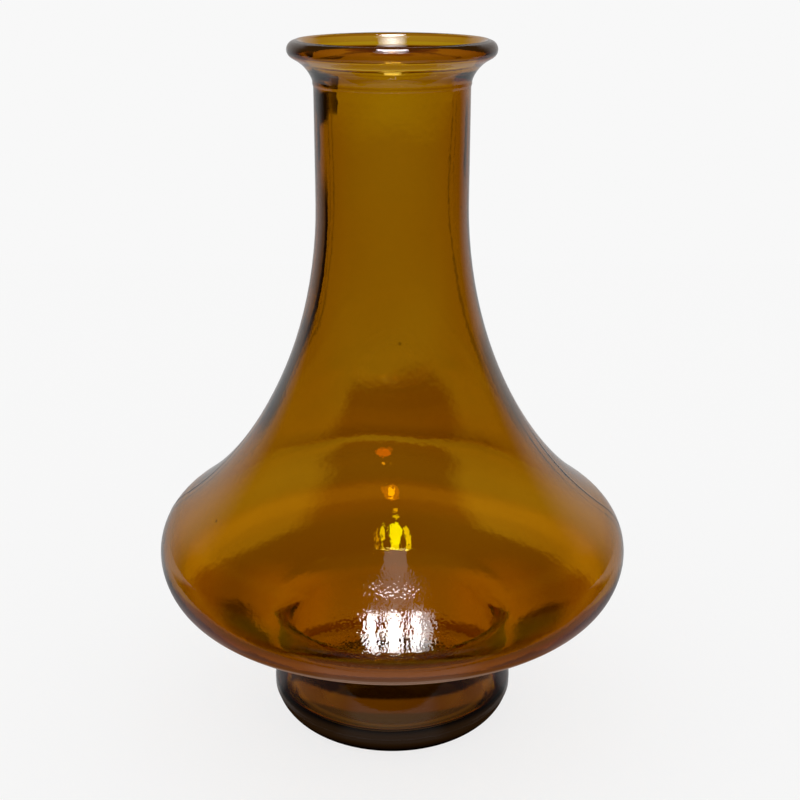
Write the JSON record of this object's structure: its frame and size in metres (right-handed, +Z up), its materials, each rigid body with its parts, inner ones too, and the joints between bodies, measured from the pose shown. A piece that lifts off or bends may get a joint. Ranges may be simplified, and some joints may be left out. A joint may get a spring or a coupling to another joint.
{
  "type": "gourd vase",
  "caption": "Amber glass gourd vase: squat round belly on a short foot, long hollow-curved shoulder, straight neck and flared mouth with a rounded rim.",
  "frame": {"origin": "on the ground under the middle of the foot", "axes": "+Z up along the axis of revolution; +X and +Y level; the picture looks along +Y"},
  "size_m": [0.165, 0.165, 0.2406],
  "materials": {
    "amber_glass": "clear glossy amber glass, coloured through its thickness, with faint waviness and mould lines"
  },
  "bodies": {
    "root": {"base": "amber_glass", "foot": "amber_glass", "underside": "amber_glass", "lower_belly": "amber_glass", "upper_belly": "amber_glass", "lower_shoulder": "amber_glass", "upper_shoulder": "amber_glass", "neck": "amber_glass", "mouth_flare": "amber_glass", "rim": "amber_glass"}
  },
  "joints": []
}
